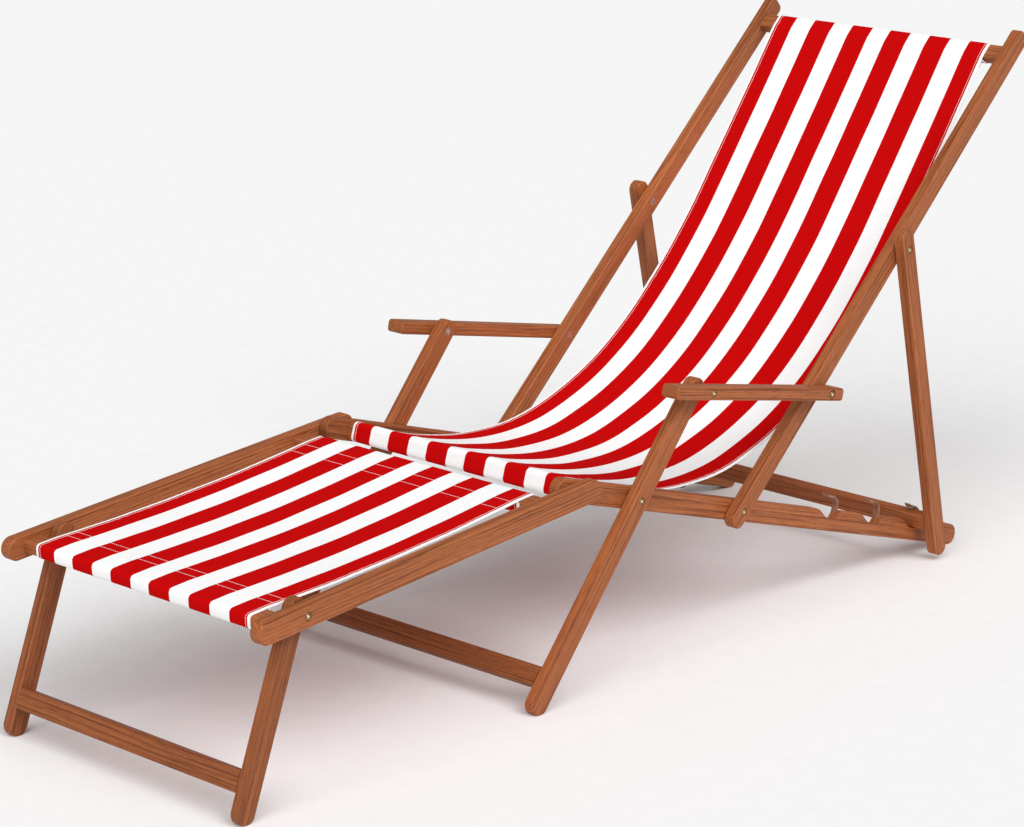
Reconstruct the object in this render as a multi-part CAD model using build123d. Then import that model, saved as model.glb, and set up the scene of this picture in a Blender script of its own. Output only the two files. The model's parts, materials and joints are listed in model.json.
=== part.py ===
from build123d import *
import math
import os

os.makedirs("parts", exist_ok=True)

# Millimetres. +X is across the chair, +Y runs from the footrest to the top of the back,
# +Z is up. Side-view places are (y, z), with y counted from the front-leg pivot; the
# finished chair is moved so that the origin is the middle of its box on the floor.

# --- timber sections -------------------------------------------------------------
RAIL_W = 36.0            # seat rail, depth in side view
RAIL_T = 18.0            # seat rail and footrest leg, thickness across the chair
LEG_W = 33.0             # front leg and footrest leg
STILE_W = 31.0           # back stile
PROP_W = 31.0            # prop leg
FOOTREST_RAIL_W = 35.0
STRUT_T = 20.0           # stile, front leg, footrest rail and prop leg, across the chair
ARM_W = 33.0             # armrest, across the chair
ARM_H = 21.0             # armrest, height
BAR_T = 20.0             # every crossbar, short side of its section
BAR_ROUND = 5.0          # rounding of the bars that carry cloth
EASE = 2.5               # rounding of the long edges
FOOT_WEAR = 0.8          # how far a rounded foot is cut flat by the floor
TENON = 12.0             # how far a crossbar's tenon goes into its leg
TENON_SHRINK = 6.0       # a tenon's section is this much smaller than its bar's
TENON_PLAY = 0.5         # between a tenon's end and its mortise's bottom
FIT = 0.06               # clearance of a glued joint or a bolt in its hole
CUT = 1.0                # how far a cutter runs past the face it opens

# --- layers across the chair, as half-distances from the middle --------------------
LAYER_GAP = 1.0
INNER_X = 235.0                              # inner face of seat rails, footrest legs
MIDDLE_X = INNER_X + RAIL_T + LAYER_GAP      # front legs, stiles, footrest rails
OUTER_X = MIDDLE_X + STRUT_T + LAYER_GAP     # prop legs, armrests
MIDDLE_OUT = MIDDLE_X + STRUT_T              # outer faces
OUTER_OUT = OUTER_X + STRUT_T
ARM_OUT = OUTER_X + ARM_W

# --- pivots and angles (degrees from +Y towards +Z) ----------------------------------
LEG_PIVOT = (0.0, 284.2)
BACK_PIVOT = (256.1, 207.3)
LEG_ANGLE = 49.5
STILE_ANGLE = 42.2
PROP_ANGLE = -76.7
SEAT_RAIL_ANGLE = -17.03
FOOTREST_ANGLE = 3.97
FOOTREST_LEG_ANGLE = -110.64
FOOTREST_LEG_PIVOT = (-713.5, 283.8)
FOOTREST_PIN = (-142.0, 326.0)
SEAT_RAIL_AXIS_Z = 285.2                     # seat rail's axis above the leg pivot's y
ARM_FRONT_AT = 199.0                         # armrest's front bolt, up the front leg
ARM_REAR_AT = 244.5                          # armrest's rear bolt, up the stile
PROP_AT = 542.0                              # prop leg's bolt, up the stile


def direction(angle):
    return (math.cos(math.radians(angle)), math.sin(math.radians(angle)))


def along(point, angle, distance, offset=0.0):
    """A side-view point, distance along a direction and offset to its upper-left."""
    c, s = direction(angle)
    return (point[0] + distance * c - offset * s, point[1] + distance * s + offset * c)


def distance_to_height(point, angle, height):
    return (height - point[1]) / direction(angle)[1]


ARM_FRONT_PIVOT = along(LEG_PIVOT, LEG_ANGLE, ARM_FRONT_AT)
ARM_REAR_PIVOT = along(BACK_PIVOT, STILE_ANGLE, ARM_REAR_AT)
PROP_PIVOT = along(BACK_PIVOT, STILE_ANGLE, PROP_AT)
ARM_ANGLE = math.degrees(math.atan2(ARM_REAR_PIVOT[1] - ARM_FRONT_PIVOT[1],
                                    ARM_REAR_PIVOT[0] - ARM_FRONT_PIVOT[0]))
ARM_SPAN = math.dist(ARM_FRONT_PIVOT, ARM_REAR_PIVOT)
SEAT_AXIS = (0.0, SEAT_RAIL_AXIS_Z)

# --- lengths past the pivots -----------------------------------------------------------
LEG_TOP = 19.0                               # front leg past its armrest bolt
STILE_BOTTOM = 30.0
STILE_TOP = 1011.0
STILE_TOP_ROUND = 9.0
PROP_TOP = 35.0
PROP_FOOT_Z = 10.0                           # prop feet hang this far off the floor
ARM_FRONT = 90.0
ARM_REAR = 31.0
ARM_ROUND = 6.0
RAIL_FRONT = 180.5                           # seat rail ahead of the leg pivot
FOOTREST_FRONT = 92.5                        # footrest rail ahead of its leg's pivot
FOOTREST_REAR = 620.5
FOOTREST_LEG_TOP = 22.0

# --- crossbars: long side of the section, and place along the member ------------------
TOP_RAIL_W = 30.0
TOP_RAIL_AT = 961.0
LEG_BAR_W = 32.0
LEG_BAR_AT = -315.0
FOOTREST_LEG_BAR_W = 32.0
FOOTREST_LEG_BAR_AT = 245.0
PROP_BAR_W = 30.0
PROP_BAR_AT = 514.2
PROP_BAR_OFFSET = 5.0
PROP_BAR_ROUND = 4.0
SEAT_BAR_W = 30.0
SEAT_BAR_AT = -120.0
SEAT_BAR_ROUND = 7.0
FOOTREST_BAR_W = 35.0
FOOTREST_FRONT_BAR_AT = -46.0
FOOTREST_REAR_BAR_AT = 505.0

# --- notches in the seat rails, along the rail from the leg pivot ---------------------
NOTCHES = 3
NOTCH_LAST = 820.0                           # top of the last notch's rear wall
NOTCH_PITCH = 126.0
NOTCH_DEPTH = 15.0
NOTCH_RAMP = 72.0                            # start of the ramp ahead of the wall's top
NOTCH_FLOOR = (28.0, 9.0)                    # notch floor's ends ahead of the wall's top

# --- catches: bent strips that hook over the prop crossbar ----------------------------
CATCH_T = 2.5
CATCH_W = 11.0
CATCH_R = 20.0                               # outer radius of the bend
CATCH_TOP = 41.5                             # top of the bend above the rail's axis
CATCH_TIP = 17.0                             # tip ahead of the bend
CATCH_DROOP = 1.5                            # how far the tip first dips
CATCH_FLARE = 4.0                            # how far its end then turns up
CATCH_FLARE_AT = 0.6                         # share of the tip ahead of that turn
CATCH_ROOT = 10.0                            # how far it is buried below the axis
CATCH_BACK = 1.0                             # strip's rear face ahead of the wall's top
CATCH_PIN_R = 1.0
CATCH_PIN_PAST = 3.0                         # how far the pin goes on into the rail

# --- bolts ----------------------------------------------------------------------------
BOLT_R = 3.0
HEAD_R = 5.2
FLANGE_H = 1.6                               # flat rim of the head
FLANGE_EASE = 0.7
GROOVE_R = 3.9                               # groove between the rim and the dome
GROOVE_D = 0.9
DOME_R = 2.8
DOME_H = 3.0                                 # dome above the bottom of the recess
DOME_EASE = 1.9
HEAD_PLAY = 0.3                              # between a head and its recess
COUNTERBORE_R = 6.4
COUNTERBORE_D = 2.0
NUT_R = 6.0
NUT_H = 4.0
NUT_SINK = 0.2                               # nut and bolt end below the inner face
NUT_PLAY = 0.2                               # around and behind a nut
WASHER_R = 8.0
WASHER_T = 0.8
OPEN_PIVOT_GAP = 1.4                         # play of the armrest's rear bolt in its hole
HINGE_PIN_R = 4.0
HINGE_PIN_DEPTH = 13.0                       # depth of a footrest pin's hole in each rail
HINGE_PIN_PLAY = 0.5                         # between a pin's end and its hole's bottom

# --- cloth ----------------------------------------------------------------------------
CLOTH_W = 452.0
CLOTH_T = 2.0
CLOTH_GAP = 0.4
CLOTH_STEPS = 24
FOOTREST_SAG = 8.0
SLING_TOP_ANGLE = 53.0                       # seat cloth's angle where it meets the top rail
SLING_LAP = 2.0                              # how far it runs on into its sleeve
SLING_LINE = [(-50, 312), (5, 292), (60, 277.8), (120, 266.9), (190, 262.2), (250, 264.3),
              (304, 273.3), (404, 304.5), (500, 353.5), (600, 430), (700, 530.5), (800, 655),
              (898, 781.5)]


# --- building blocks ------------------------------------------------------------------
def side_plane(x, point, angle):
    """Work plane at x whose own x axis points along the angle in the side view."""
    c, s = direction(angle)
    return Plane(origin=(x, point[0], point[1]), x_dir=(0, c, s), z_dir=(1, 0, 0))


def rounded_outline(start, end, width, start_round, end_round):
    """Bar outline from start to end on its own axis, with rounded corners."""
    half = width / 2
    circles = Sketch()
    for place, radius, side in ((start, start_round, 1), (end, end_round, -1)):
        for sign in (-1, 1):
            centre = (place + side * radius, sign * (half - radius))
            circles += Pos(*centre) * Circle(radius)
    return make_hull(circles.edges())


def eased(solid, radius=EASE):
    """Round the outline edges on the two faces that look across the chair."""
    faces = solid.faces().filter_by(Axis.X)
    edges = faces.sort_by(Axis.X)[0].edges() + faces.sort_by(Axis.X)[-1].edges()
    return fillet(edges, radius)


def member(x, thickness, pivot, angle, start, end, width, rounds=None):
    """A timber in one layer, from start to end along its angle, measured from a pivot."""
    first, last = rounds or (width / 2, width / 2)
    outline = rounded_outline(start, end, width, first, last)
    return eased(extrude(side_plane(x, pivot, angle) * outline, amount=thickness))


def bore(x0, x1, point, radius):
    length = x1 - x0
    place = Plane(origin=(x0, point[0], point[1]), z_dir=(1, 0, 0))
    return place * Cylinder(radius, length, align=(Align.CENTER, Align.CENTER, Align.MIN))


def bolt_hole(x, thickness, point, radius=BOLT_R + FIT):
    return bore(x - CUT, x + thickness + CUT, point, radius)


def head_recess(outer_face, point, play=0.0):
    bottom = outer_face - COUNTERBORE_D - HEAD_PLAY
    return bore(bottom, outer_face + CUT, point, COUNTERBORE_R + play)


def nut_recess(inner_face, point):
    top = inner_face + NUT_SINK + NUT_H + NUT_PLAY
    return bore(inner_face - CUT, top, point, NUT_R + NUT_PLAY)


def bolt(inner_face, outer_face, point):
    """Domed bolt from the nut's face to the head in its recess."""
    seat = outer_face - COUNTERBORE_D
    rim = bore(seat, seat + FLANGE_H, point, HEAD_R)
    rim = fillet(rim.edges().sort_by(Axis.X)[-1], FLANGE_EASE)
    rim -= bore(seat + FLANGE_H - GROOVE_D, seat + DOME_H, point, GROOVE_R)
    dome = bore(seat, seat + DOME_H, point, DOME_R)
    dome = fillet(dome.edges().sort_by(Axis.X)[-1], DOME_EASE)
    return bore(inner_face + NUT_SINK, seat, point, BOLT_R) + rim + dome


def nut(inner_face, point):
    start = inner_face + NUT_SINK
    body = bore(start, start + NUT_H, point, NUT_R)
    return body - bolt_hole(start, NUT_H, point)


def washer(x, point):
    play = (LAYER_GAP - WASHER_T) / 2
    ring = bore(x + play, x + play + WASHER_T, point, WASHER_R)
    return ring - bore(x, x + LAYER_GAP, point, BOLT_R + FIT)


def crossbar(half_span, point, angle, width, depth=BAR_T, ease=EASE, tenon=TENON):
    """A bar across the chair with a tenon at each end; width lies along the angle."""
    outline = fillet(Rectangle(width, depth).vertices(), ease)
    body = extrude(side_plane(-half_span, point, angle) * outline, amount=2 * half_span)
    small = Rectangle(width - TENON_SHRINK, depth - TENON_SHRINK)
    reach = half_span + tenon
    return body + extrude(side_plane(-reach, point, angle) * small, amount=2 * reach)


def mortise(half_span, point, angle, width, depth=BAR_T, tenon=TENON):
    size = 2 * FIT - TENON_SHRINK
    reach = half_span + tenon + TENON_PLAY
    outline = Rectangle(width + size, depth + size)
    return extrude(side_plane(-reach, point, angle) * outline, amount=2 * reach)


def pair(solid):
    """The same piece on both sides of the chair."""
    return [solid, mirror(solid, Plane.YZ)]


def group(solids):
    both = []
    for solid in solids:
        both += pair(solid)
    return Compound(children=both)


# --- places worked out from the dimensions above --------------------------------------
RAIL_REAR = distance_to_height(SEAT_AXIS, SEAT_RAIL_ANGLE, RAIL_W / 2 - FOOT_WEAR) + RAIL_W / 2
LEG_FOOT = distance_to_height(LEG_PIVOT, LEG_ANGLE, LEG_W / 2 - FOOT_WEAR) - LEG_W / 2
FOOTREST_LEG_FOOT = LEG_W / 2 + distance_to_height(
    FOOTREST_LEG_PIVOT, FOOTREST_LEG_ANGLE, LEG_W / 2 - FOOT_WEAR)
PROP_FOOT = distance_to_height(
    PROP_PIVOT, PROP_ANGLE, PROP_W / 2 + PROP_FOOT_Z) + PROP_W / 2

TOP_RAIL = along(BACK_PIVOT, STILE_ANGLE, TOP_RAIL_AT)
LEG_BAR = along(LEG_PIVOT, LEG_ANGLE, LEG_BAR_AT, (LEG_W - BAR_T) / 2)
FOOTREST_LEG_BAR = along(FOOTREST_LEG_PIVOT, FOOTREST_LEG_ANGLE, FOOTREST_LEG_BAR_AT,
                         -(LEG_W - BAR_T) / 2)
PROP_BAR = along(PROP_PIVOT, PROP_ANGLE, PROP_BAR_AT, -PROP_BAR_OFFSET)
SEAT_BAR = along(SEAT_AXIS, SEAT_RAIL_ANGLE, SEAT_BAR_AT)
FOOTREST_FRONT_BAR = along(FOOTREST_LEG_PIVOT, FOOTREST_ANGLE, FOOTREST_FRONT_BAR_AT)
FOOTREST_REAR_BAR = along(FOOTREST_LEG_PIVOT, FOOTREST_ANGLE, FOOTREST_REAR_BAR_AT)
FLOOR = Box(800, 3000, 100, align=(Align.CENTER, Align.CENTER, Align.MAX))


# --- seat frame -----------------------------------------------------------------------
def notch_tops():
    return [NOTCH_LAST - NOTCH_PITCH * i for i in range(NOTCHES - 1, -1, -1)]


def notch(top):
    """Cutter for one notch: a gentle ramp, a short floor and a steep rear wall."""
    edge = RAIL_W / 2
    floor = edge - NOTCH_DEPTH
    ramp = Spline((top - NOTCH_RAMP, edge), (top - NOTCH_FLOOR[0], floor),
                  tangents=((1, -0.05), (1, 0)))
    base = Line(ramp @ 1, (top - NOTCH_FLOOR[1], floor))
    wall = Line(base @ 1, (top, edge))
    rise = Line(wall @ 1, (top, edge + CUT))
    lid = Line(rise @ 1, (top - NOTCH_RAMP, edge + CUT))
    close = Line(lid @ 1, ramp @ 0)
    outline = make_face([ramp, base, wall, rise, lid, close])
    plane = side_plane(INNER_X - CUT, SEAT_AXIS, SEAT_RAIL_ANGLE)
    return extrude(plane * outline, amount=RAIL_T + 2 * CUT)


def catch(top, slack=0.0):
    """Bent strip: buried root, quarter bend over the notch, tip turned up a little."""
    back = top - CATCH_BACK - CATCH_T / 2
    radius = CATCH_R - CATCH_T / 2
    bend_v = CATCH_TOP - CATCH_R
    root = Line((back, -CATCH_ROOT), (back, bend_v))
    bend = CenterArc((back - radius, bend_v), radius, 0, 90)
    front, low = back - radius, bend_v + radius - CATCH_DROOP
    tip = Line(bend @ 1, (front - CATCH_TIP * CATCH_FLARE_AT, low))
    flare = Line(tip @ 1, (front - CATCH_TIP, low + CATCH_FLARE))
    path = Wire([root, bend, tip, flare])
    outline = make_face(path.offset_2d(CATCH_T / 2 + slack, kind=Kind.ARC).edges())
    plane = side_plane(INNER_X - slack, SEAT_AXIS, SEAT_RAIL_ANGLE)
    return extrude(plane * outline, amount=CATCH_W + 2 * slack)


def catch_pin_place(top):
    back = top - CATCH_BACK - CATCH_T / 2
    return along(SEAT_AXIS, SEAT_RAIL_ANGLE, back, -CATCH_ROOT / 2)


def catch_pin(top, slack=0.0):
    end = INNER_X + CATCH_W + CATCH_PIN_PAST
    return bore(INNER_X - slack, end + slack, catch_pin_place(top), CATCH_PIN_R + slack)


def seat_rail():
    rail = member(INNER_X, RAIL_T, SEAT_AXIS, SEAT_RAIL_ANGLE, -RAIL_FRONT, RAIL_REAR, RAIL_W)
    for top in notch_tops():
        rail = rail - notch(top) - catch(top, FIT) - catch_pin(top, FIT)
    for point in (LEG_PIVOT, BACK_PIVOT):
        rail = rail - bolt_hole(INNER_X, RAIL_T, point) - nut_recess(INNER_X, point)
    rail -= bore(INNER_X + RAIL_T - HINGE_PIN_DEPTH, INNER_X + RAIL_T + CUT, FOOTREST_PIN,
                 HINGE_PIN_R + FIT)
    return rail - mortise(INNER_X, SEAT_BAR, SEAT_RAIL_ANGLE + 90, SEAT_BAR_W) - FLOOR


def seat_front_bar():
    return crossbar(INNER_X, SEAT_BAR, SEAT_RAIL_ANGLE + 90, SEAT_BAR_W, ease=SEAT_BAR_ROUND)


def prop_catches():
    return group(catch(top) - catch_pin(top, FIT) for top in notch_tops())


def catch_pins():
    return group(catch_pin(top) for top in notch_tops())


# --- back frame -----------------------------------------------------------------------
def back_stile():
    stile = member(MIDDLE_X, STRUT_T, BACK_PIVOT, STILE_ANGLE, -STILE_BOTTOM, STILE_TOP,
                   STILE_W, (STILE_W / 2, STILE_TOP_ROUND))
    stile = stile - bolt_hole(MIDDLE_X, STRUT_T, BACK_PIVOT)
    stile = stile - head_recess(MIDDLE_OUT, BACK_PIVOT)
    for point in (ARM_REAR_PIVOT, PROP_PIVOT):
        stile = stile - bolt_hole(MIDDLE_X, STRUT_T, point) - nut_recess(MIDDLE_X, point)
    return stile - mortise(MIDDLE_X, TOP_RAIL, STILE_ANGLE, TOP_RAIL_W)


def back_top_rail():
    return crossbar(MIDDLE_X, TOP_RAIL, STILE_ANGLE, TOP_RAIL_W, ease=BAR_ROUND)


# --- prop frame -----------------------------------------------------------------------
def prop_leg():
    leg = member(OUTER_X, STRUT_T, PROP_PIVOT, PROP_ANGLE, -PROP_TOP, PROP_FOOT, PROP_W)
    leg = leg - bolt_hole(OUTER_X, STRUT_T, PROP_PIVOT)
    leg = leg - head_recess(OUTER_OUT, PROP_PIVOT)
    return leg - mortise(OUTER_X, PROP_BAR, PROP_ANGLE, PROP_BAR_W)


def prop_crossbar():
    return crossbar(OUTER_X, PROP_BAR, PROP_ANGLE, PROP_BAR_W, ease=PROP_BAR_ROUND)


# --- front legs -----------------------------------------------------------------------
def front_leg():
    leg = member(MIDDLE_X, STRUT_T, LEG_PIVOT, LEG_ANGLE, LEG_FOOT,
                 ARM_FRONT_AT + LEG_TOP, LEG_W)
    leg = leg - bolt_hole(MIDDLE_X, STRUT_T, LEG_PIVOT)
    leg = leg - head_recess(MIDDLE_OUT, LEG_PIVOT)
    leg = leg - bolt_hole(MIDDLE_X, STRUT_T, ARM_FRONT_PIVOT)
    leg = leg - nut_recess(MIDDLE_X, ARM_FRONT_PIVOT)
    return leg - mortise(MIDDLE_X, LEG_BAR, LEG_ANGLE, LEG_BAR_W) - FLOOR


def front_leg_crossbar():
    return crossbar(MIDDLE_X, LEG_BAR, LEG_ANGLE, LEG_BAR_W)


# --- armrests -------------------------------------------------------------------------
def armrest():
    arm = member(OUTER_X, ARM_W, ARM_FRONT_PIVOT, ARM_ANGLE, -ARM_FRONT, ARM_SPAN + ARM_REAR,
                 ARM_H, (ARM_ROUND, ARM_ROUND))
    arm = arm - bolt_hole(OUTER_X, ARM_W, ARM_FRONT_PIVOT)
    arm = arm - head_recess(ARM_OUT, ARM_FRONT_PIVOT)
    arm = arm - bolt_hole(OUTER_X, ARM_W, ARM_REAR_PIVOT, BOLT_R + OPEN_PIVOT_GAP)
    return arm - head_recess(ARM_OUT, ARM_REAR_PIVOT, OPEN_PIVOT_GAP)


# --- footrest -------------------------------------------------------------------------
def footrest_rail():
    rail = member(MIDDLE_X, STRUT_T, FOOTREST_LEG_PIVOT, FOOTREST_ANGLE, -FOOTREST_FRONT,
                  FOOTREST_REAR, FOOTREST_RAIL_W)
    rail = rail - bolt_hole(MIDDLE_X, STRUT_T, FOOTREST_LEG_PIVOT)
    rail = rail - head_recess(MIDDLE_OUT, FOOTREST_LEG_PIVOT)
    rail -= bore(MIDDLE_X - CUT, MIDDLE_X + HINGE_PIN_DEPTH, FOOTREST_PIN, HINGE_PIN_R + FIT)
    for bar in (FOOTREST_FRONT_BAR, FOOTREST_REAR_BAR):
        rail = rail - mortise(MIDDLE_X, bar, FOOTREST_ANGLE, FOOTREST_BAR_W)
    return rail


def footrest_bar(point):
    return crossbar(MIDDLE_X, point, FOOTREST_ANGLE, FOOTREST_BAR_W, ease=BAR_ROUND)


def footrest_leg():
    leg = member(INNER_X, RAIL_T, FOOTREST_LEG_PIVOT, FOOTREST_LEG_ANGLE, -FOOTREST_LEG_TOP,
                 FOOTREST_LEG_FOOT, LEG_W)
    leg = leg - bolt_hole(INNER_X, RAIL_T, FOOTREST_LEG_PIVOT)
    leg = leg - nut_recess(INNER_X, FOOTREST_LEG_PIVOT)
    return leg - mortise(INNER_X, FOOTREST_LEG_BAR, FOOTREST_LEG_ANGLE,
                         FOOTREST_LEG_BAR_W) - FLOOR


def footrest_leg_crossbar():
    return crossbar(INNER_X, FOOTREST_LEG_BAR, FOOTREST_LEG_ANGLE, FOOTREST_LEG_BAR_W)


def footrest_hinge_pins():
    depth = HINGE_PIN_DEPTH - HINGE_PIN_PLAY
    return group([bore(INNER_X + RAIL_T - depth, MIDDLE_X + depth, FOOTREST_PIN, HINGE_PIN_R)])


# --- cloth ----------------------------------------------------------------------------
def loop(point, angle, width, ease):
    """Cloth sleeve around a crossbar, as a flat ring in the side view."""
    rings = []
    for grow in (CLOTH_GAP + CLOTH_T, CLOTH_GAP):
        ring = Rectangle(width + 2 * grow, BAR_T + 2 * grow)
        rings.append(fillet(ring.vertices(), ease + grow))
    return side_plane(-CLOTH_W / 2, point, angle) * (rings[0] - rings[1])


def cloth(line):
    """Thin sheet along a side-view line, as a flat outline in the loops' plane."""
    centre = Spline(*line)
    sides = {1: [], -1: []}
    for i in range(CLOTH_STEPS + 1):
        place, run = centre @ (i / CLOTH_STEPS), centre % (i / CLOTH_STEPS)
        for sign, points in sides.items():
            shift = sign * CLOTH_T / 2
            points.append((place.X - shift * run.Y, place.Y + shift * run.X))
    upper, lower = Spline(*sides[1]), Spline(*sides[-1])
    ends = [Line(upper @ 0, lower @ 0), Line(upper @ 1, lower @ 1)]
    plane = Plane(origin=(-CLOTH_W / 2, 0, 0), x_dir=(0, 1, 0), z_dir=(1, 0, 0))
    return plane * make_face([upper, lower] + ends)


def seat_sling():
    skin = CLOTH_GAP + CLOTH_T / 2
    start = along(SEAT_BAR, SEAT_RAIL_ANGLE + 90, SEAT_BAR_W / 2 + skin)
    corner = along(TOP_RAIL, STILE_ANGLE, BAR_ROUND - TOP_RAIL_W / 2, BAR_T / 2 - BAR_ROUND)
    end = along(corner, SLING_TOP_ANGLE, SLING_LAP, BAR_ROUND + skin)
    profile = cloth([start] + SLING_LINE + [end])
    profile += loop(SEAT_BAR, SEAT_RAIL_ANGLE + 90, SEAT_BAR_W, SEAT_BAR_ROUND)
    profile += loop(TOP_RAIL, STILE_ANGLE, TOP_RAIL_W, BAR_ROUND)
    return extrude(profile, amount=CLOTH_W)


def footrest_sling():
    rise = BAR_T / 2 + CLOTH_GAP + CLOTH_T / 2
    middle_at = (FOOTREST_FRONT_BAR_AT + FOOTREST_REAR_BAR_AT) / 2
    line = [along(FOOTREST_FRONT_BAR, FOOTREST_ANGLE, 0, rise),
            along(FOOTREST_FRONT_BAR, FOOTREST_ANGLE, FOOTREST_BAR_W / 2, rise),
            along(FOOTREST_LEG_PIVOT, FOOTREST_ANGLE, middle_at, rise - FOOTREST_SAG),
            along(FOOTREST_REAR_BAR, FOOTREST_ANGLE, -FOOTREST_BAR_W / 2, rise),
            along(FOOTREST_REAR_BAR, FOOTREST_ANGLE, 0, rise)]
    profile = cloth(line)
    for bar in (FOOTREST_FRONT_BAR, FOOTREST_REAR_BAR):
        profile += loop(bar, FOOTREST_ANGLE, FOOTREST_BAR_W, BAR_ROUND)
    return extrude(profile, amount=CLOTH_W)


# --- fasteners: (node, inner face, outer face, place) ---------------------------------
BOLTS = {
    "footrest_leg_bolts": (INNER_X, MIDDLE_OUT, FOOTREST_LEG_PIVOT),
    "front_leg_bolts": (INNER_X, MIDDLE_OUT, LEG_PIVOT),
    "back_pivot_bolts": (INNER_X, MIDDLE_OUT, BACK_PIVOT),
    "armrest_front_bolts": (MIDDLE_X, ARM_OUT, ARM_FRONT_PIVOT),
    "armrest_rear_bolts": (MIDDLE_X, ARM_OUT, ARM_REAR_PIVOT),
    "prop_leg_bolts": (MIDDLE_X, OUTER_OUT, PROP_PIVOT),
}


def washer_face(inner_face):
    return inner_face + (RAIL_T if inner_face == INNER_X else STRUT_T)


nodes = {
    "seat_front_bar": seat_front_bar(),
    "prop_catches": prop_catches(),
    "catch_pins": catch_pins(),
    "back_top_rail": back_top_rail(),
    "prop_crossbar": prop_crossbar(),
    "front_leg_crossbar": front_leg_crossbar(),
    "footrest_front_bar": footrest_bar(FOOTREST_FRONT_BAR),
    "footrest_rear_bar": footrest_bar(FOOTREST_REAR_BAR),
    "footrest_leg_crossbar": footrest_leg_crossbar(),
    "footrest_hinge_pins": footrest_hinge_pins(),
    "seat_sling": seat_sling(),
    "footrest_sling": footrest_sling(),
}
SIDED = {
    "seat_rail": seat_rail,
    "back_stile": back_stile,
    "prop_leg": prop_leg,
    "front_leg": front_leg,
    "armrest": armrest,
    "footrest_rail": footrest_rail,
    "footrest_leg": footrest_leg,
}
for name, make in SIDED.items():
    nodes[name + "_left"], nodes[name + "_right"] = pair(make())
for name, (inner, outer, place) in BOLTS.items():
    nodes[name] = group([bolt(inner, outer, place)])
    nodes[name.replace("bolts", "nuts")] = group([nut(inner, place)])
    nodes[name.replace("bolts", "washers")] = group([washer(washer_face(inner), place)])

# --- origin: middle of the chair's box, on the floor ----------------------------------
boxes = [solid.bounding_box() for solid in nodes.values()]
middle_y = (min(box.min.Y for box in boxes) + max(box.max.Y for box in boxes)) / 2
for name, solid in nodes.items():
    export_step(Pos(0, -middle_y, 0) * solid, f"parts/{name}.step")

for label, point in (("leg_swing", LEG_PIVOT), ("back_recline", BACK_PIVOT),
                     ("armrest_tilt", ARM_FRONT_PIVOT), ("armrest_rear", ARM_REAR_PIVOT),
                     ("prop_swing", PROP_PIVOT), ("footrest_lift", FOOTREST_PIN),
                     ("footrest_leg_fold", FOOTREST_LEG_PIVOT)):
    print(label, round((point[0] - middle_y) / 1000, 6), round(point[1] / 1000, 6))
print("middle_y", round(middle_y, 3))
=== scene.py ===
import json
import math
import random

import bmesh
import bpy
import numpy as np
from mathutils import Matrix, Vector


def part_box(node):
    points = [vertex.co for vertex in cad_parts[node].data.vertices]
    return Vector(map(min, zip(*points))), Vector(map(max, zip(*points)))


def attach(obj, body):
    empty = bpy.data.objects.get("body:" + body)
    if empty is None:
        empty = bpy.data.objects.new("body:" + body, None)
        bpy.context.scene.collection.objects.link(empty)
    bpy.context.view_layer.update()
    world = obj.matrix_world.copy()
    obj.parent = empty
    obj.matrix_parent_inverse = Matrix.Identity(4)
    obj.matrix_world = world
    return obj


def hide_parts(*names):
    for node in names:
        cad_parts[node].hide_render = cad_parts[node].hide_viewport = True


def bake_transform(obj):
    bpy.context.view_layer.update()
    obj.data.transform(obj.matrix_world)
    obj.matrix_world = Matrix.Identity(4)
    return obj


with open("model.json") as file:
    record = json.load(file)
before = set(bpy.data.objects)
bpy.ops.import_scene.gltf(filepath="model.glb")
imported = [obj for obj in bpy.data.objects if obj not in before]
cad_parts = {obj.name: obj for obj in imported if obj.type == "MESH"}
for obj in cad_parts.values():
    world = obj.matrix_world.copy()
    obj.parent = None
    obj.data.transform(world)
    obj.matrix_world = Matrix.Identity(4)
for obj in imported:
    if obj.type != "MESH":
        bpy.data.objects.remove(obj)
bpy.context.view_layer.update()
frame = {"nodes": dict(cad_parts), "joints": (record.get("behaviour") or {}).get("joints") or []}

MM = 0.001
PIVOT = {joint["name"]: Vector(joint["pos_m"]) for joint in frame["joints"]}
BASE_Y = PIVOT["leg_swing"].y            # side-view places count y from the front-leg pivot

# --- angles of the members, in degrees from +Y towards +Z -----------------------------
SEAT_ANGLE = -17.03
STILE_ANGLE = 42.2
PROP_ANGLE = -76.7
LEG_ANGLE = 49.5
ARM_ANGLE = -11.8
FOOTREST_ANGLE = 3.97
FOOTREST_LEG_ANGLE = -110.64
MEMBERS = {
    "seat_rail": SEAT_ANGLE,
    "back_stile": STILE_ANGLE,
    "prop_leg": PROP_ANGLE,
    "front_leg": LEG_ANGLE,
    "armrest": ARM_ANGLE,
    "footrest_rail": FOOTREST_ANGLE,
    "footrest_leg": FOOTREST_LEG_ANGLE,
}
CROSSBARS = {
    "seat_front_bar": SEAT_ANGLE + 90,
    "back_top_rail": STILE_ANGLE,
    "prop_crossbar": PROP_ANGLE,
    "front_leg_crossbar": LEG_ANGLE,
    "footrest_front_bar": FOOTREST_ANGLE,
    "footrest_rear_bar": FOOTREST_ANGLE,
    "footrest_leg_crossbar": FOOTREST_LEG_ANGLE,
}

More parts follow.
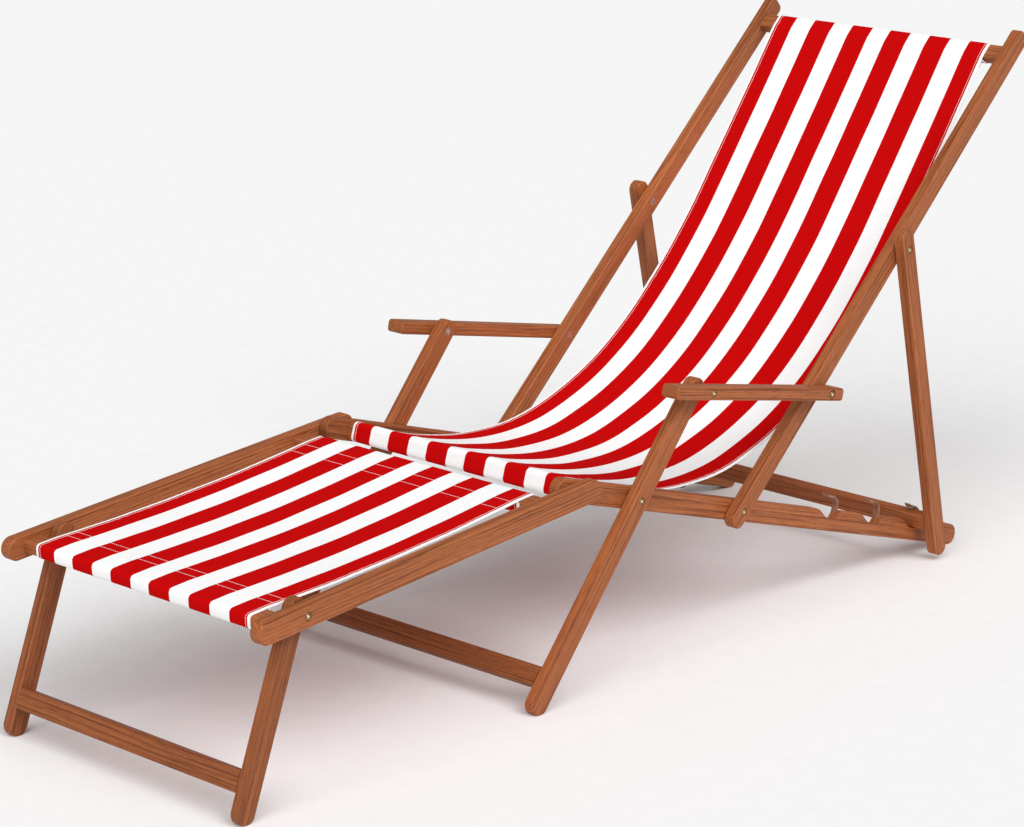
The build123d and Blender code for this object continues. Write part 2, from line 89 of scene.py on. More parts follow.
# --- cloth, in metres -----------------------------------------------------------------
CLOTH_HALF = 226 * MM
CLOTH_T = 1.1 * MM
TOP, BOTTOM = CLOTH_T / 2, -CLOTH_T / 2
CLOTH_GAP = 0.4 * MM
LAYER = 1.4 * MM                         # between the middles of two sewn layers
CENTRE_STRIPE = 18.9 * MM                # half the middle white stripe
RED_STRIPE = 43.2 * MM
STRIPE_PITCH = 83.1 * MM
COLOUR_EDGE = 220.9 * MM                 # outside it the cloth is white
HEM_W = 15 * MM
HEM_T = 1.0 * MM
HEM_SEAM = 217.2 * MM
STITCH = 3.4 * MM
STITCH_GAP = 0.7 * MM
THREAD_R = 0.42 * MM
THREAD_SIDES = 6
SEAM_INSET = 5 * MM                      # ends of the cloth without a hem seam
SUNK_TOP = 0.25 * MM                     # how far a hem stitch sinks into the upper side
SUNK_UNDER = 0.1 * MM                    # and into the hem's underside
EDGE_R = 0.8 * MM                        # rounding of the folded edge
GROOVE_W = 0.9 * MM                      # the hem seam's groove
GROOVE_TOP = 0.35 * MM                   # its depth in the upper side
GROOVE_UNDER = 0.3 * MM
MESH_STEP = 4 * MM                       # rows of the cloth's mesh along its line
TAIL_STEP = 2 * MM                       # rows of a sleeve's sewn end
BAR_T = 20 * MM
HEAD_R = 5.2 * MM                        # bolt head
DOUBLED = 45 * MM                        # ends of the span, kept plain over their sleeves
EASE_IN = 80 * MM                        # the free span's waves grow over this length
CUP_IN = 250 * MM
PUCKER = 0.25 * MM
PUCKER_W = 9 * MM
PUCKER_PITCH = 17 * MM
RIPPLE = 0.35 * MM
TOP_RAIL_W = 30 * MM
SEAT_BAR_W = 30 * MM
FOOT_BAR_W = 35 * MM
SEAT_BAR_ROUND = 7 * MM
BAR_ROUND = 5 * MM                       # corner radius of the other bars in sleeves
FOOTREST_SAG = 7 * MM
BAR_CLEAR = 2 * MM                       # footrest's span starts this far beyond its bars
SEAT_CUP = 1.0 * MM                      # how far the middle lies below the edges
FOOTREST_CUP = 1.5 * MM
SEAT_TAILS = (26 * MM, 0.0), (12 * MM, 4 * MM)        # reach and spread, front and rear
FOOTREST_TAILS = (40 * MM, 0.0), (45 * MM, 0.0)
SEAT_CROSS_SEAMS = (8 * MM, 20 * MM)     # from the front sewn end
FRONT_CROSS_SEAMS = (13 * MM, 33 * MM)   # on the footrest, from the ends of its span
REAR_CROSS_SEAMS = (11 * MM, 41 * MM)
SLING_TOP_ANGLE = 53.0                   # seat cloth's angle where it meets the top rail
SLING_TOP_REACH = 80 * MM                # how far it runs on at that angle
SEAT_LINE = [(-50, 310), (5, 291.4), (60, 277.8), (120, 266.9), (190, 262.2), (250, 264.3),
             (304, 273.3), (404, 304.5), (500, 353.5), (600, 430), (700, 530.5), (800, 655),
             (898, 781.5)]


# --- node trees -----------------------------------------------------------------------
def node(tree, kind, inputs=(), **settings):
    """A shader node; an input given as a socket is linked, any other is its value."""
    made = tree.nodes.new(kind)
    for name, value in settings.items():
        setattr(made, name, value)
    for key, value in dict(inputs).items():
        if isinstance(value, bpy.types.NodeSocket):
            tree.links.new(value, made.inputs[key])
        else:
            made.inputs[key].default_value = value
    return made


def maths(tree, operation, *values):
    made = node(tree, "ShaderNodeMath", enumerate(values), operation=operation)
    return made.outputs[0]


def ramp(tree, factor, stops, interpolation="LINEAR"):
    made = node(tree, "ShaderNodeValToRGB", {"Fac": factor})
    made.color_ramp.interpolation = interpolation
    elements = made.color_ramp.elements
    while len(elements) < len(stops):
        elements.new(0.5)
    for element, (place, colour) in zip(elements, stops):
        element.position = place
        element.color = (*colour, 1.0)
    return made.outputs[0]


def mix(tree, blend, factor, first, second):
    made = node(tree, "ShaderNodeMix", data_type="RGBA", blend_type=blend)
    for socket, value in ((0, factor), (6, first), (7, second)):
        if isinstance(value, bpy.types.NodeSocket):
            tree.links.new(value, made.inputs[socket])
        else:
            made.inputs[socket].default_value = value
    return made.outputs[2]


def noise(tree, vector, scale, detail=2.0, roughness=0.5):
    """Noise whose scale is given along each axis, per metre."""
    scaled = node(tree, "ShaderNodeVectorMath", {0: vector, 1: scale}, operation="MULTIPLY")
    made = node(tree, "ShaderNodeTexNoise",
                {"Vector": scaled.outputs[0], "Scale": 1.0, "Detail": detail,
                 "Roughness": roughness})
    return made.outputs["Fac"]


def new_material(name):
    material = bpy.data.materials.new(name)
    material.use_nodes = True
    tree = material.node_tree
    return material, tree, tree.nodes["Principled BSDF"]


def between(tree, factor, low, high):
    made = node(tree, "ShaderNodeMapRange",
                {"Value": factor, "To Min": low, "To Max": high})
    return made.outputs[0]


def bump(tree, height, distance, strength=1.0, normal=None):
    inputs = {"Height": height, "Distance": distance, "Strength": strength}
    if normal is not None:
        inputs["Normal"] = normal
    return node(tree, "ShaderNodeBump", inputs).outputs[0]


# --- materials ------------------------------------------------------------------------
WOOD_LIGHT = (0.455, 0.146, 0.046)
WOOD_MID = (0.355, 0.107, 0.033)
WOOD_DARK = (0.165, 0.044, 0.014)
RINGS_PER_M = 200.0
FIRST_SEED = 11
PAINTED_SHADE_TONES = {                                # pieces darkened all over as painted shade, where shade falls on them
    "footrest_leg_left": 0.8,
    "footrest_leg_right": 0.8,
    "footrest_leg_crossbar": 0.78,
    "front_leg_crossbar": 0.74,
    "seat_rail_right": 0.88,
}


def wood(name, centre, angle, across, seed, shade):
    """Oiled reddish hardwood: growth rings around a pith that runs along the grain."""
    rng = random.Random(seed)
    material, tree, shader = new_material(name)
    place = node(tree, "ShaderNodeTexCoord").outputs["Object"]
    turned = node(tree, "ShaderNodeVectorRotate",
                  {"Vector": place, "Center": centre, "Angle": -math.radians(angle)},
                  rotation_type="X_AXIS")
    local = node(tree, "ShaderNodeVectorMath", {0: turned.outputs[0], 1: centre},
                 operation="SUBTRACT")
    split = node(tree, "ShaderNodeSeparateXYZ", {0: local.outputs[0]})
    x, y, z = split.outputs
    along, side = (x, y) if across else (y, x)
    shifted = maths(tree, "ADD", along, rng.uniform(2, 40))
    grain = node(tree, "ShaderNodeCombineXYZ", {0: shifted, 1: side, 2: z}).outputs[0]
    # growth rings
    turn = rng.uniform(0, 2 * math.pi)
    far = rng.uniform(0.022, 0.06)
    pith = (0.0, far * math.cos(turn), far * math.sin(turn))
    section = node(tree, "ShaderNodeCombineXYZ", {0: 0.0, 1: side, 2: z}).outputs[0]
    away = node(tree, "ShaderNodeVectorMath", {0: section, 1: pith}, operation="DISTANCE")
    wander = noise(tree, grain, (2.2, 26.0, 26.0), 2.0)
    drift = maths(tree, "MULTIPLY", wander, 0.016)
    ring_at = maths(tree, "ADD", away.outputs["Value"], drift)
    ring = maths(tree, "FRACT", maths(tree, "MULTIPLY", ring_at, RINGS_PER_M))
    rings = ramp(tree, ring, [(0.0, WOOD_LIGHT), (0.5, WOOD_MID), (0.86, WOOD_DARK),
                              (0.97, WOOD_LIGHT)])
    # calmer patches where the rings hardly show
    calm = between(tree, noise(tree, grain, (1.3, 60.0, 60.0), 1.0), 0.1, 0.75)
    body = mix(tree, "MIX", calm, (*WOOD_MID, 1.0), rings)
    # tone that wanders slowly, scaled down on some pieces as painted shade; fine dark pores and
    # pale fibres
    tone_and_painted_shade = between(tree, noise(tree, grain, (3.0, 14.0, 14.0), 2.0), 0.78 * shade, 1.2 * shade)
    body = mix(tree, "MULTIPLY", 1.0, body, node(
        tree, "ShaderNodeCombineColor", {0: tone_and_painted_shade, 1: tone_and_painted_shade, 2: tone_and_painted_shade}).outputs[0])
    pores = noise(tree, grain, (34.0, 1000.0, 1000.0), 2.0, 0.6)
    pore_shade = ramp(tree, pores, [(0.32, (0.38, 0.3, 0.26)), (0.46, (1, 1, 1)),
                                    (1.0, (1.08, 1.06, 1.04))])
    body = mix(tree, "MULTIPLY", 0.75, body, pore_shade)
    streaks = noise(tree, grain, (3.6, 400.0, 400.0), 2.0, 0.55)
    streak_shade = ramp(tree, streaks, [(0.37, (0.5, 0.42, 0.37)), (0.47, (1, 1, 1)),
                                        (0.75, (1.12, 1.1, 1.08))])
    body = mix(tree, "MULTIPLY", 0.85, body, streak_shade)
    tree.links.new(body, shader.inputs["Base Color"])
    tree.links.new(between(tree, pores, 0.62, 0.4), shader.inputs["Roughness"])
    grooves = bump(tree, pores, 0.0005, 0.35)
    tree.links.new(bump(tree, streaks, 0.0006, 0.3, grooves), shader.inputs["Normal"])
    shader.inputs["Specular IOR Level"].default_value = 0.24
    return material


RED = (0.515, 0.0022, 0.0026)
WHITE = (0.9, 0.9, 0.9)
WEAVE_PITCH = 0.0011


def canvas():
    """Plain-woven striped canvas; the cloth's UV is in metres across and along."""
    material, tree, shader = new_material("canvas")
    uv = node(tree, "ShaderNodeUVMap", uv_map="cloth").outputs[0]
    split = node(tree, "ShaderNodeSeparateXYZ", {0: uv})
    u, v = split.outputs[0], split.outputs[1]
    ragged = noise(tree, uv, (40.0, 1400.0, 0.0), 1.0)
    shift = maths(tree, "MULTIPLY", maths(tree, "SUBTRACT", ragged, 0.5), 0.0007)
    away = maths(tree, "ADD", maths(tree, "ABSOLUTE", u), shift)
    past = maths(tree, "MODULO", maths(tree, "SUBTRACT", away, CENTRE_STRIPE), STRIPE_PITCH)
    in_red = maths(tree, "LESS_THAN", past, RED_STRIPE)
    beyond = maths(tree, "GREATER_THAN", away, CENTRE_STRIPE)
    inside = maths(tree, "LESS_THAN", away, COLOUR_EDGE)
    is_red = maths(tree, "MULTIPLY", maths(tree, "MULTIPLY", in_red, beyond), inside)
    colour = mix(tree, "MIX", is_red, (*WHITE, 1.0), (*RED, 1.0))
    # weft slubs, warp streaks and slow fading
    slubs = noise(tree, uv, (60.0, 1300.0, 0.0), 2.0)
    warps = noise(tree, uv, (1300.0, 30.0, 0.0), 2.0)
    fading = noise(tree, uv, (5.0, 5.0, 0.0), 2.0)
    shade = maths(tree, "ADD", maths(tree, "MULTIPLY", maths(tree, "ADD", slubs, warps), 0.12),
                  between(tree, fading, 0.82, 0.94))
    colour = mix(tree, "MULTIPLY", 1.0, colour, node(
        tree, "ShaderNodeCombineColor", {0: shade, 1: shade, 2: shade}).outputs[0])
    tree.links.new(colour, shader.inputs["Base Color"])
    # plain weave
    pitch = 2 * math.pi / WEAVE_PITCH
    weft = maths(tree, "SINE", maths(tree, "MULTIPLY", u, pitch))
    warp = maths(tree, "SINE", maths(tree, "MULTIPLY", v, pitch))
    weave = maths(tree, "MULTIPLY", weft, warp)
    height = maths(tree, "ADD", maths(tree, "MULTIPLY", weave, 0.5), slubs)
    tree.links.new(bump(tree, height, 0.00012, 0.6), shader.inputs["Normal"])
    tree.links.new(between(tree, slubs, 0.82, 0.95), shader.inputs["Roughness"])
    shader.inputs["Specular IOR Level"].default_value = 0.02
    return material


def thread():
    material, tree, shader = new_material("thread")
    place = node(tree, "ShaderNodeTexCoord").outputs["Object"]
    twist = noise(tree, place, (2600.0, 2600.0, 2600.0), 1.0)
    colour = ramp(tree, twist, [(0.3, (0.7, 0.66, 0.64)), (0.7, (0.88, 0.86, 0.84))])
    tree.links.new(colour, shader.inputs["Base Color"])
    tree.links.new(bump(tree, twist, 0.0001, 0.5), shader.inputs["Normal"])
    tree.links.new(between(tree, twist, 0.6, 0.8), shader.inputs["Roughness"])
    return material


def zinc():
    """Worn zinc plating: tarnish in patches and fine scratches."""
    material, tree, shader = new_material("zinc")
    place = node(tree, "ShaderNodeTexCoord").outputs["Object"]
    patches = noise(tree, place, (260.0, 260.0, 260.0), 3.0)
    scratches = noise(tree, place, (900.0, 3600.0, 900.0), 2.0)
    colour = ramp(tree, patches, [(0.35, (0.34, 0.33, 0.31)), (0.62, (0.56, 0.56, 0.55))])
    tree.links.new(colour, shader.inputs["Base Color"])
    tree.links.new(between(tree, scratches, 0.266, 0.532), shader.inputs["Roughness"])
    tree.links.new(bump(tree, scratches, 0.0001, 0.25), shader.inputs["Normal"])
    shader.inputs["Metallic"].default_value = 1.0
    return material


def bolt_brass(name, centre):
    """Brass head with painted shade in its groove and at its edge and a painted highlight on its
    dome.
    """
    material, tree, shader = new_material(name)
    place = node(tree, "ShaderNodeTexCoord").outputs["Object"]
    side_only = node(tree, "ShaderNodeVectorMath", {0: place, 1: (0.0, 1.0, 1.0)},
                     operation="MULTIPLY").outputs[0]
    away = node(tree, "ShaderNodeVectorMath", {0: side_only, 1: (0.0, centre.y, centre.z)},
                operation="DISTANCE").outputs["Value"]
    # painted highlight in the middle of the dome, painted shade in the dark groove ring and at
    # the rim
    rings = ramp(tree, maths(tree, "DIVIDE", away, HEAD_R), [
        (0.0, (1.0, 0.92, 0.74)), (0.4, (0.88, 0.71, 0.42)), (0.56, (0.22, 0.13, 0.06)),
        (0.68, (0.12, 0.065, 0.03)), (0.78, (0.74, 0.57, 0.31)), (0.9, (0.56, 0.4, 0.19)),
        (1.0, (0.14, 0.085, 0.04))])
    patches = noise(tree, place, (260.0, 260.0, 260.0), 3.0)
    tarnish = ramp(tree, patches, [(0.35, (0.72, 0.66, 0.58)), (0.62, (1, 1, 1))])
    tree.links.new(mix(tree, "MULTIPLY", 1.0, rings, tarnish), shader.inputs["Base Color"])
    tree.links.new(between(tree, patches, 0.32, 0.18), shader.inputs["Roughness"])
    scratches = noise(tree, place, (900.0, 3600.0, 900.0), 2.0)
    tree.links.new(bump(tree, scratches, 0.0001, 0.25), shader.inputs["Normal"])
    shader.inputs["Metallic"].default_value = 1.0
    return material


def lacquer():
    """Brown lacquered steel strip with brush marks and rubbed patches."""
    material, tree, shader = new_material("catch_lacquer")
    place = node(tree, "ShaderNodeTexCoord").outputs["Object"]
    patches = noise(tree, place, (140.0, 90.0, 90.0), 3.0)
    colour = ramp(tree, patches, [(0.38, (0.22, 0.085, 0.045)), (0.66, (0.36, 0.16, 0.095))])
    tree.links.new(colour, shader.inputs["Base Color"])
    marks = noise(tree, place, (900.0, 120.0, 120.0), 2.0)
    tree.links.new(between(tree, marks, 0.38, 0.6), shader.inputs["Roughness"])
    tree.links.new(bump(tree, marks, 0.0002, 0.4), shader.inputs["Normal"])
    return material


# --- objects --------------------------------------------------------------------------
def middle_of(name):
    low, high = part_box(name)
    return (low + high) / 2


def link(name, data):
    obj = bpy.data.objects.new(name, data)
    bpy.context.scene.collection.objects.link(obj)
    return obj


def paint(obj, material):
    for slot in obj.material_slots:
        slot.material = material
    if not obj.material_slots:
        obj.data.materials.append(material)


# --- carried-over pieces --------------------------------------------------------------
def finish_wood():
    pieces = []
    for stem, angle in MEMBERS.items():
        pieces += [(f"{stem}_{side}", angle, False) for side in ("left", "right")]
    pieces += [(name, angle, True) for name, angle in CROSSBARS.items()]
    for seed, (name, angle, across) in enumerate(pieces):
        # some pieces get a darker tone here, which is painted shade
        material = wood(f"wood_{name}", middle_of(name), angle, across, seed + FIRST_SEED,
                        PAINTED_SHADE_TONES.get(name, 1.0))
        paint(frame["nodes"][name], material)


def finish_metal():
    steel = zinc()
    catch = lacquer()
    for name, obj in frame["nodes"].items():
        if name.endswith("_bolts"):
            paint(obj, bolt_brass(f"brass_{name}", middle_of(name)))
        elif name.endswith(("_nuts", "_washers", "_pins")):
            paint(obj, steel)
        elif name == "prop_catches":
            paint(obj, catch)


# --- side-view lines for the cloth ----------------------------------------------------
def side(y, z):
    """A side-view place in millimetres as (y, z) metres in the row frame."""
    return (BASE_Y + y * MM, z * MM)


def bar_outline(name, angle, width, rounding):
    """Points around a crossbar's section, where the cloth's middle runs."""
    middle = middle_of(name)
    grow = CLOTH_GAP + CLOTH_T / 2
    half = (width / 2 - rounding, BAR_T / 2 - rounding)
    radius = rounding + grow
    c, s = math.cos(math.radians(angle)), math.sin(math.radians(angle))
    points = []
    for corner, sign in enumerate(((1, 1), (-1, 1), (-1, -1), (1, -1))):
        for step in range(9):
            turn = math.radians(90 * corner + 90 * step / 8)
            a = sign[0] * half[0] + radius * math.cos(turn)
            b = sign[1] * half[1] + radius * math.sin(turn)
            points.append((middle.y + a * c - b * s, middle.z + a * s + b * c))
    return points


def hull(points):
    """Convex hull, anticlockwise."""
    ordered = sorted(set(points))
    halves = []
    for run in (ordered, ordered[::-1]):
        chain = []
        for p in run:
            while len(chain) > 1 and cross(chain[-2], chain[-1], p) <= 0:
                chain.pop()
            chain.append(p)
        halves += chain[:-1]
    return halves


def cross(o, a, b):
    return (a[0] - o[0]) * (b[1] - o[1]) - (a[1] - o[1]) * (b[0] - o[0])


def taut(outline, start, end):
    """The tight line from start around a bar to end."""
    ring = hull(outline + [start, end])
    at = ring.index(start)
    ring = ring[at:] + ring[:at]
    return ring if ring[-1] == end else [start] + ring[:0:-1]


def curve(points, steps=14):
    """Smooth line through the points (centripetal Catmull-Rom)."""
    p = [np.array(q, float) for q in points]
    p = [2 * p[0] - p[1]] + p + [2 * p[-1] - p[-2]]
    line = [tuple(p[1])]
    for a, b, c, d in zip(p, p[1:], p[2:], p[3:]):
        t0 = 0.0
        t1 = t0 + math.sqrt(np.linalg.norm(b - a))
        t2 = t1 + math.sqrt(np.linalg.norm(c - b))
        t3 = t2 + math.sqrt(np.linalg.norm(d - c))
        for i in range(1, steps + 1):
            t = t1 + (t2 - t1) * i / steps
            ab = (t1 - t) / (t1 - t0) * a + (t - t0) / (t1 - t0) * b
            bc = (t2 - t) / (t2 - t1) * b + (t - t1) / (t2 - t1) * c
            cd = (t3 - t) / (t3 - t2) * c + (t - t2) / (t3 - t2) * d
            abc = (t2 - t) / (t2 - t0) * ab + (t - t0) / (t2 - t0) * bc
            bcd = (t3 - t) / (t3 - t1) * bc + (t - t1) / (t3 - t1) * cd
            line.append(tuple((t2 - t) / (t2 - t1) * abc + (t - t1) / (t2 - t1) * bcd))
    return line


def lengths(line):
    steps = np.linalg.norm(np.diff(np.array(line), axis=0), axis=1)
    return np.concatenate([[0.0], np.cumsum(steps)])


def resample(line, step):
    far = lengths(line)
    count = max(2, round(far[-1] / step) + 1)
    at = np.linspace(0, far[-1], count)
    points = np.array(line)
    return np.stack([np.interp(at, far, points[:, i]) for i in (0, 1)], axis=1)


def normals(points):
    """Left-hand normals of a side-view line."""
    run = np.gradient(points, axis=0)
    run /= np.linalg.norm(run, axis=1)[:, None]
    return np.stack([-run[:, 1], run[:, 0]], axis=1)


def tail(line, reach, spread, from_end=False):
    """A sleeve's sewn end behind the start (or end) of a line; its far end stands off."""
    points = resample(line, TAIL_STEP)
    up, far = normals(points), lengths(points)
    if from_end:
        points, up, far = points[::-1], up[::-1], far[-1] - far[::-1]
    chosen = far <= reach
    drop = LAYER + spread * (far[chosen] / reach) ** 2
    return [tuple(p) for p in points[chosen] - up[chosen] * drop[:, None]]


def sling_line(main, front_bar, rear_bar, front_tail, rear_tail):
    """Sleeve round the front bar, the main span, and a sleeve round the rear bar.

    Also gives the lengths at which the main span starts and ends."""
    first = tail(main, *front_tail)
    last = tail(main, *rear_tail, from_end=True)
    head = first[::-1][:-1] + taut(front_bar, first[0], main[0])[:-1]
    line = head + main + taut(rear_bar, main[-1], last[0])[1:-1] + last
    start = float(lengths(head + main[:1])[-1])
    return line, (start, start + float(lengths(main)[-1]))


# --- cloth meshes ---------------------------------------------------------------------
def groove(x):
    """How deep the hem seam pulls the cloth in at x, from 0 to 1."""
    return math.exp(-((x - HEM_SEAM) / GROOVE_W) ** 2)


def cloth_section():
    """Closed outline across the cloth: (x, height above the middle), hemmed edges."""
    edge = CLOTH_HALF
    thick = TOP
    flat = np.linspace(0, edge - HEM_W - 3 * MM, 34)
    rim = edge - EDGE_R
    hem = np.linspace(edge - HEM_W - 2 * MM, rim, 20)
    top = [(x, thick) for x in flat]
    top += [(x, thick - GROOVE_TOP * groove(x)) for x in hem]
    low = -thick - HEM_T
    middle = (thick + low) / 2
    turn = [(rim + EDGE_R * math.sin(a), middle + (thick - middle) * math.cos(a))
            for a in np.linspace(0, math.pi, 7)[1:-1]]
    bottom = []
    for x in hem[::-1]:
        full = min(1.0, max(0.0, (x - (edge - HEM_W)) / (1.2 * MM)))
        dent = GROOVE_UNDER * groove(x)
        bottom.append((x, -thick - HEM_T * full + dent * full))
    bottom += [(x, -thick) for x in flat[::-1]]
    right = top + turn + bottom
    left = [(-x, h) for x, h in right[1:-1][::-1]]
    return right + left


def slack(x, v, free, cup):
    """How far the free span lies off its plain shape: cupped middle, faint puckers."""
    inside = min(v - free[0], free[1] - v) - DOUBLED
    if inside <= 0:
        return 0.0
    eased = min(1.0, inside / EASE_IN)
    eased = eased * eased * (3 - 2 * eased)
    bow = -cup * min(1.0, inside / CUP_IN) * (1 - (x / CLOTH_HALF) ** 2)
    edge = math.exp(-((abs(x) - HEM_SEAM) / PUCKER_W) ** 2)
    pucker = PUCKER * edge * math.sin(v * 2 * math.pi / PUCKER_PITCH + 3 * math.sin(v * 31))
    ripple = RIPPLE * math.sin(x * 61 + v * 13) * math.sin(v * 37 - x * 9)
    return (bow + pucker + ripple) * eased


def cloth_mesh(name, line, free, cup):
    """Sweeps the hemmed section along the line; UV is (x, distance along) in metres."""
    points = resample(line, MESH_STEP)
    side_normals = normals(points)
    far = lengths(points)
    section = cloth_section()
    count = len(section)
    vertices = []
    for place, up, v in zip(points, side_normals, far):
        for x, h in section:
            off = h + slack(x, v, free, cup)
            vertices.append((x, place[0] + up[0] * off, place[1] + up[1] * off))
    faces, coords = [], []
    for i in range(len(points) - 1):
        for j in range(count):
            k = (j + 1) % count
            corners = ((i, j), (i, k), (i + 1, k), (i + 1, j))
            faces.append([a * count + b for a, b in corners])
            coords += [(section[b][0], far[a]) for a, b in corners]
    for i, turn in ((0, 1), (len(points) - 1, -1)):
        cap = list(range(count))[::-turn]
        faces.append([i * count + j for j in cap])
        coords += [(section[j][0], far[i]) for j in cap]
    mesh = bpy.data.meshes.new(name)
    mesh.from_pydata(vertices, [], faces)
    layer = mesh.uv_layers.new(name="cloth")
    layer.data.foreach_set("uv", np.array(coords, np.float32).ravel())
    mesh.polygons.foreach_set("use_smooth", [True] * len(mesh.polygons))
    mesh.update()
    obj = link(name, mesh)
    recalculate(obj)
    return obj, points, side_normals, far


def recalculate(obj):
    work = bmesh.new()
    work.from_mesh(obj.data)
    bmesh.ops.recalc_face_normals(work, faces=work.faces)
    work.to_mesh(obj.data)
    work.free()


class Seams:
    """Rows of stitches, each a small capsule half sunk in the cloth."""

    def __init__(self, line, up, far, free, cup):
        self.line, self.up, self.far = line, up, far
        self.free, self.cup = free, cup
        self.vertices, self.faces = [], []

    def at(self, x, v, height):
        place = [np.interp(v, self.far, self.line[:, i]) for i in (0, 1)]
        rise = [np.interp(v, self.far, self.up[:, i]) for i in (0, 1)]
        off = height + slack(x, v, self.free, self.cup)
        point = Vector((x, place[0] + rise[0] * off, place[1] + rise[1] * off))
        return point, Vector((0, rise[0], rise[1])).normalized()

    def stitch(self, a, b, up):
        run = (b - a).normalized()
        across = run.cross(up).normalized()
        base, sides = len(self.vertices), range(THREAD_SIDES)
        rings = ((0.0, 0.45), (0.12, 1.0), (0.88, 1.0), (1.0, 0.45))
        for part, size in rings:
            centre = a.lerp(b, part)
            for i in sides:
                turn = 2 * math.pi * i / THREAD_SIDES
                off = across * math.cos(turn) + up * math.sin(turn)
                self.vertices.append(centre + off * THREAD_R * size)
        for ring in range(len(rings) - 1):
            low = base + ring * THREAD_SIDES
            high = low + THREAD_SIDES
            for i in sides:
                k = (i + 1) % THREAD_SIDES
                self.faces.append((low + i, low + k, high + k, high + i))
        self.faces.append(tuple(base + i for i in sides)[::-1])
        self.faces.append(tuple(high + i for i in sides))

    def edge_row(self, x, height, start, end):
        v = start
        while v + STITCH < end:
            a, up = self.at(x, v, height)
            b, _ = self.at(x, v + STITCH, height)
            self.stitch(a, b, up)
            v += STITCH + STITCH_GAP

    def cross_row(self, v, height, half=CLOTH_HALF - 3 * MM):
        x = -half
        while x + STITCH < half:
            a, up = self.at(x, v, height)
            b, _ = self.at(x + STITCH, v, height)
            self.stitch(a, b, up)
            x += STITCH + STITCH_GAP

    def build(self, name, material):
        mesh = bpy.data.meshes.new(name)
        mesh.from_pydata(self.vertices, [], self.faces)
        mesh.polygons.foreach_set("use_smooth", [True] * len(mesh.polygons))
        obj = link(name, mesh)
        recalculate(obj)
        paint(obj, material)
        return obj


def on_member(origin, angle, along, high):
    """A side-view place in metres, along a direction and high above it."""
    c, s = math.cos(math.radians(angle)), math.sin(math.radians(angle))
    return (origin.y + along * c - high * s, origin.z + along * s + high * c)


def hemmed(name, line, free, cup, cloth):
    """A sling's cloth with the stitches of both side hems; also its length."""
    sling, points, up, far = cloth_mesh(name, line, free, cup)
    paint(sling, cloth)
    seams = Seams(points, up, far, free, cup)
    for x in (-HEM_SEAM, HEM_SEAM):
        for height in (TOP - SUNK_TOP, BOTTOM - HEM_T + SUNK_UNDER):
            seams.edge_row(x, height, SEAM_INSET, far[-1] - SEAM_INSET)
    return sling, seams, float(far[-1])


def seat_sling(cloth, sewing):
    points = [side(*p) for p in SEAT_LINE]
    meets_rail = Vector((0, *points[-1]))
    points.append(on_member(meets_rail, SLING_TOP_ANGLE, SLING_TOP_REACH, 0))
    line, free = sling_line(
        curve(points),
        bar_outline("seat_front_bar", CROSSBARS["seat_front_bar"], SEAT_BAR_W, SEAT_BAR_ROUND),
        bar_outline("back_top_rail", STILE_ANGLE, TOP_RAIL_W, BAR_ROUND),
        *SEAT_TAILS)
    sling, seams, length = hemmed("seat_sling_cloth", line, free, SEAT_CUP, cloth)
    for inset in SEAT_CROSS_SEAMS:
        seams.cross_row(inset, TOP)
    sewn = seams.build("seat_sling_stitches", sewing)
    for piece in (sling, sewn):
        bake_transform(piece)
    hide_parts("seat_sling")


def footrest_sling(cloth, sewing):
    front, rear = middle_of("footrest_front_bar"), middle_of("footrest_rear_bar")
    span = (rear - front).length
    rise = BAR_T / 2 + CLOTH_GAP + CLOTH_T / 2
    main = []
    for i in range(25):
        part = i / 24
        along = FOOT_BAR_W / 2 + BAR_CLEAR + (span - FOOT_BAR_W - 2 * BAR_CLEAR) * part
        sag = FOOTREST_SAG * 4 * part * (1 - part)
        main.append(on_member(front, FOOTREST_ANGLE, along, rise - sag))
    line, free = sling_line(
        main, bar_outline("footrest_front_bar", FOOTREST_ANGLE, FOOT_BAR_W, BAR_ROUND),
        bar_outline("footrest_rear_bar", FOOTREST_ANGLE, FOOT_BAR_W, BAR_ROUND),
        *FOOTREST_TAILS)
    sling, seams, length = hemmed("footrest_sling_cloth", line, free, FOOTREST_CUP, cloth)
    for inset in FRONT_CROSS_SEAMS:
        seams.cross_row(free[0] + inset, TOP)
    for inset in REAR_CROSS_SEAMS:
        seams.cross_row(free[1] - inset, TOP)
    sewn = seams.build("footrest_sling_stitches", sewing)
    for piece in (sling, sewn):
        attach(piece, "footrest_frame")
    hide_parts("footrest_sling")


# --- stage, light and camera ----------------------------------------------------------
CAMERA_X, CAMERA_Y, CAMERA_Z = 3.2222, -3.5746, 1.7478     # y counts from the front-leg pivot
CAMERA_TURN = (41.987, 15.967, 0.33)     # to the left, downwards and about its own line
CAMERA_LENS = 111.44
FLOOR_HALF = 30.0


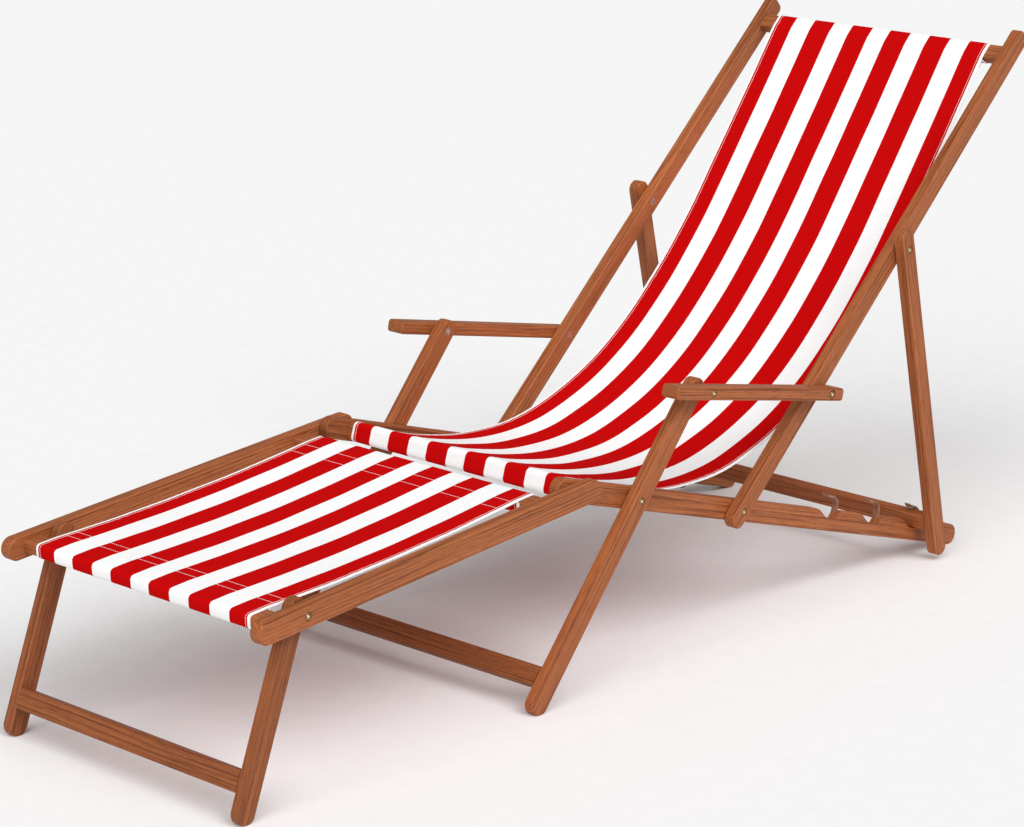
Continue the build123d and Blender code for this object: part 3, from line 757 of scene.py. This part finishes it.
def floor():
    material, tree, shader = new_material("floor_pale")
    place = node(tree, "ShaderNodeTexCoord").outputs["Object"]
    speck = noise(tree, place, (30.0, 30.0, 30.0), 3.0)
    colour = ramp(tree, speck, [(0.3, (0.87, 0.87, 0.87)), (0.7, (0.89, 0.89, 0.89))])
    tree.links.new(colour, shader.inputs["Base Color"])
    shader.inputs["Roughness"].default_value = 0.9
    shader.inputs["Specular IOR Level"].default_value = 0.1
    mesh = bpy.data.meshes.new("floor")
    corners = [(x * FLOOR_HALF, y * FLOOR_HALF, 0)
               for x, y in ((-1, -1), (1, -1), (1, 1), (-1, 1))]
    mesh.from_pydata(corners, [], [(0, 1, 2, 3)])
    obj = link("floor", mesh)
    paint(obj, material)


def sun(name, azimuth, elevation, spread, factor):
    """A soft sun that gives a facing white surface the brightness factor."""
    turn, rise = math.radians(azimuth), math.radians(elevation)
    towards = Vector((math.sin(turn) * math.cos(rise), -math.cos(turn) * math.cos(rise),
                      math.sin(rise)))
    data = bpy.data.lights.new(name, "SUN")
    data.energy = factor * math.pi
    data.angle = math.radians(spread)
    link(name, data).rotation_euler = towards.to_track_quat("Z", "Y").to_euler()


def lights():
    sun("key", 88, 45, 40, 0.56)
    sun("fill", 20, 40, 50, 0.56)
    world = bpy.data.worlds.new("studio")
    world.use_nodes = True
    background = world.node_tree.nodes["Background"]
    background.inputs["Color"].default_value = (1, 1, 1, 1)
    background.inputs["Strength"].default_value = 0.3
    bpy.context.scene.world = world


def camera():
    yaw, pitch, roll = (math.radians(a) for a in CAMERA_TURN)
    ahead = Vector((-math.sin(yaw) * math.cos(pitch), math.cos(yaw) * math.cos(pitch),
                    -math.sin(pitch)))
    right = Vector((math.cos(yaw), math.sin(yaw), 0))
    up = right.cross(ahead)
    right, up = (math.cos(roll) * right + math.sin(roll) * up,
                 -math.sin(roll) * right + math.cos(roll) * up)
    data = bpy.data.cameras.new("camera")
    data.sensor_width = 36.0
    data.lens = CAMERA_LENS
    data.clip_end = 100.0
    obj = link("camera", data)
    place = Vector((CAMERA_X, BASE_Y + CAMERA_Y, CAMERA_Z))
    turn = Matrix((right, up, -ahead)).transposed().to_4x4()
    obj.matrix_world = Matrix.Translation(place) @ turn
    bpy.context.scene.camera = obj


bpy.context.scene.view_settings.view_transform = "Standard"
camera()
lights()
floor()
finish_wood()
finish_metal()
canvas_material = canvas()
thread_material = thread()
seat_sling(canvas_material, thread_material)
footrest_sling(canvas_material, thread_material)
